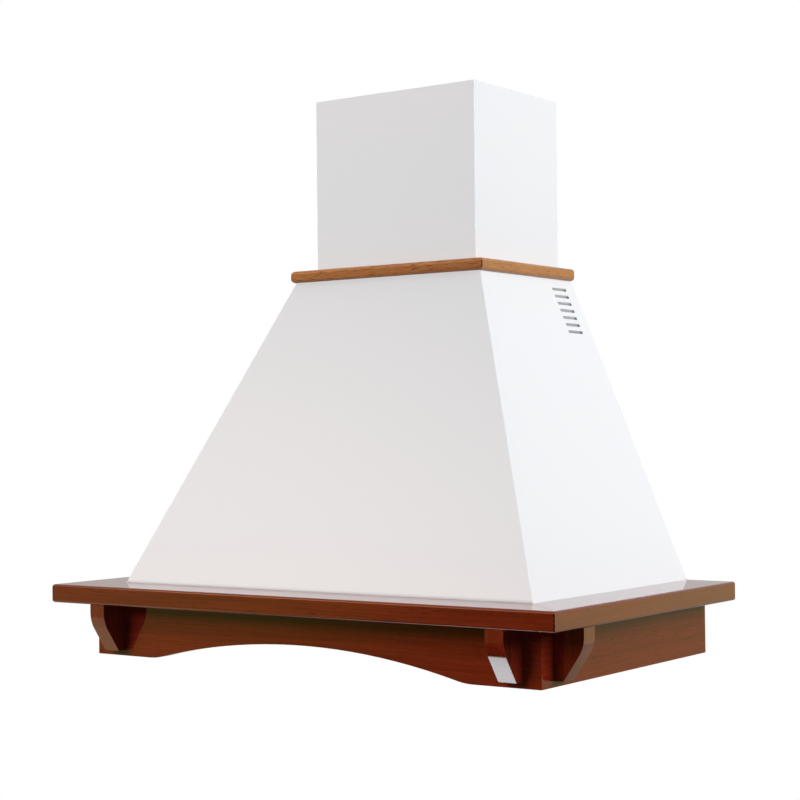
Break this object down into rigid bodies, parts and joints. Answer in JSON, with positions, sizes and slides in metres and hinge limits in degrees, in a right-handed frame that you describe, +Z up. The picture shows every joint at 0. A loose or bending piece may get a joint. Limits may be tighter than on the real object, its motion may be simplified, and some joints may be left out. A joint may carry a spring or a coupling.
{
  "type": "range hood",
  "caption": "Wall-mounted range hood: a tapered white canopy and square chimney on a dark wooden shelf with an arched apron and corbels, with blower, filters, lamps and controls inside.",
  "frame": {"origin": "on the wall, at the middle of the hood and level with the apron's lower edge", "axes": "+X to the right as the cook faces the hood, +Y into the wall, +Z up"},
  "size_m": [0.9, 0.53, 0.864],
  "materials": {
    "dark_lacquered_wood": "stained dark brown and lacquered to a high gloss",
    "plain_softwood": "planed, not stained",
    "honey_lacquered_wood": "stained honey brown, satin lacquer",
    "white_powder_coat": "satin white powder coat",
    "galvanised_steel": "galvanised, dull",
    "silver_paint": "silver grey paint, satin",
    "filter_aluminium": "expanded mesh, anodised",
    "grey_plastic": "moulded, fine texture",
    "white_plastic": "moulded, glossy",
    "black_plastic": "moulded, matt",
    "chrome": "bright plated",
    "frosted_glass": "frosted",
    "spun_aluminium": "spun, bare",
    "motor_casting": "cast, dull",
    "zinc_steel": "zinc plated"
  },
  "bodies": {
    "hood": {"shelf_front_rail": "dark_lacquered_wood", "shelf_left_rail": "dark_lacquered_wood", "shelf_right_rail": "dark_lacquered_wood", "apron_front": "dark_lacquered_wood", "apron_left": "dark_lacquered_wood", "apron_right": "dark_lacquered_wood", "corbel_front_left": "dark_lacquered_wood", "corbel_front_right": "dark_lacquered_wood", "corbel_side_left": "dark_lacquered_wood", "corbel_side_right": "dark_lacquered_wood", "shelf_back_rail": "plain_softwood", "apron_back": "plain_softwood", "corner_blocks": "plain_softwood", "neck_moulding_front": "honey_lacquered_wood", "neck_moulding_left": "honey_lacquered_wood", "neck_moulding_right": "honey_lacquered_wood", "canopy_shell": "white_powder_coat", "chimney_cover": "white_powder_coat", "rear_panel": "galvanised_steel", "chimney_bracket": "galvanised_steel", "blower_hanger_left": "galvanised_steel", "blower_hanger_right": "galvanised_steel", "motor_bracket": "galvanised_steel", "inlet_ring_left": "galvanised_steel", "inlet_ring_right": "galvanised_steel", "filter_hooks": "galvanised_steel", "base_panel": "silver_paint", "control_fascia": "grey_plastic", "switch_box": "black_plastic", "blower_housing_left": "black_plastic", "blower_housing_right": "black_plastic", "outlet_collar": "black_plastic", "terminal_box": "black_plastic", "cable_gland": "black_plastic", "lamp_ring_left": "chrome", "lamp_ring_right": "chrome", "lamp_lens_left": "frosted_glass", "lamp_lens_right": "frosted_glass", "lamp_body_left": "spun_aluminium", "lamp_body_right": "spun_aluminium", "capacitor": "spun_aluminium", "motor": "motor_casting", "damper_pin": "zinc_steel", "base_screws": "zinc_steel", "hanger_screws": "zinc_steel", "inlet_screws": "zinc_steel"},
    "upper_chimney": {"chimney_extension": "white_powder_coat"},
    "rotor": {"impeller": "black_plastic", "motor_shaft": "zinc_steel"},
    "front_flap": {"damper_flap_front": "black_plastic"},
    "rear_flap": {"damper_flap_rear": "black_plastic"},
    "left_filter": {"grease_filter_left": "filter_aluminium"},
    "left_latch": {"filter_latch_left": "grey_plastic"},
    "right_filter": {"grease_filter_right": "filter_aluminium"},
    "right_latch": {"filter_latch_right": "grey_plastic"},
    "off_button": {"button_off": "white_plastic"},
    "low_button": {"button_speed_low": "white_plastic"},
    "middle_button": {"button_speed_middle": "white_plastic"},
    "high_button": {"button_speed_high": "white_plastic"},
    "light_button": {"button_light": "white_plastic"}
  },
  "joints": [
    {"name": "chimney_slide", "type": "slide", "parent": "hood", "child": "upper_chimney", "axis": [0, 0, 1], "range_m": [0, 0.2]},
    {"name": "impeller_spin", "type": "hinge", "parent": "hood", "child": "rotor", "pos_m": [0, -0.184, 0.235], "axis": [1, 0, 0], "continuous": true},
    {"name": "front_flap_swing", "type": "hinge", "parent": "hood", "child": "front_flap", "pos_m": [0, -0.12, 0.383], "axis": [-1, 0, 0], "range_deg": [0, 75]},
    {"name": "rear_flap_swing", "type": "hinge", "parent": "hood", "child": "rear_flap", "pos_m": [0, -0.12, 0.383], "axis": [1, 0, 0], "range_deg": [0, 75]},
    {"name": "left_filter_drop", "type": "hinge", "parent": "hood", "child": "left_filter", "pos_m": [-0.145, -0.068, 0.0843], "axis": [1, 0, 0], "range_deg": [0, 70]},
    {"name": "left_latch_slide", "type": "slide", "parent": "left_filter", "child": "left_latch", "axis": [0, 1, 0], "range_m": [0, 0.0075], "stiffness_N_per_m": 400, "springref_m": -0.004},
    {"name": "right_filter_drop", "type": "hinge", "parent": "hood", "child": "right_filter", "pos_m": [0.145, -0.068, 0.0843], "axis": [1, 0, 0], "range_deg": [0, 70]},
    {"name": "right_latch_slide", "type": "slide", "parent": "right_filter", "child": "right_latch", "axis": [0, 1, 0], "range_m": [0, 0.0075], "stiffness_N_per_m": 400, "springref_m": -0.004},
    {"name": "off_button_press", "type": "slide", "parent": "hood", "child": "off_button", "axis": [0, 0, 1], "range_m": [0, 0.003], "stiffness_N_per_m": 400, "springref_m": -0.002},
    {"name": "low_button_press", "type": "slide", "parent": "hood", "child": "low_button", "axis": [0, 0, 1], "range_m": [0, 0.003], "stiffness_N_per_m": 400, "springref_m": -0.002},
    {"name": "middle_button_press", "type": "slide", "parent": "hood", "child": "middle_button", "axis": [0, 0, 1], "range_m": [0, 0.003], "stiffness_N_per_m": 400, "springref_m": -0.002},
    {"name": "high_button_press", "type": "slide", "parent": "hood", "child": "high_button", "axis": [0, 0, 1], "range_m": [0, 0.003], "stiffness_N_per_m": 400, "springref_m": -0.002},
    {"name": "light_button_press", "type": "slide", "parent": "hood", "child": "light_button", "axis": [0, 0, 1], "range_m": [0, 0.003], "stiffness_N_per_m": 400, "springref_m": -0.002}
  ]
}
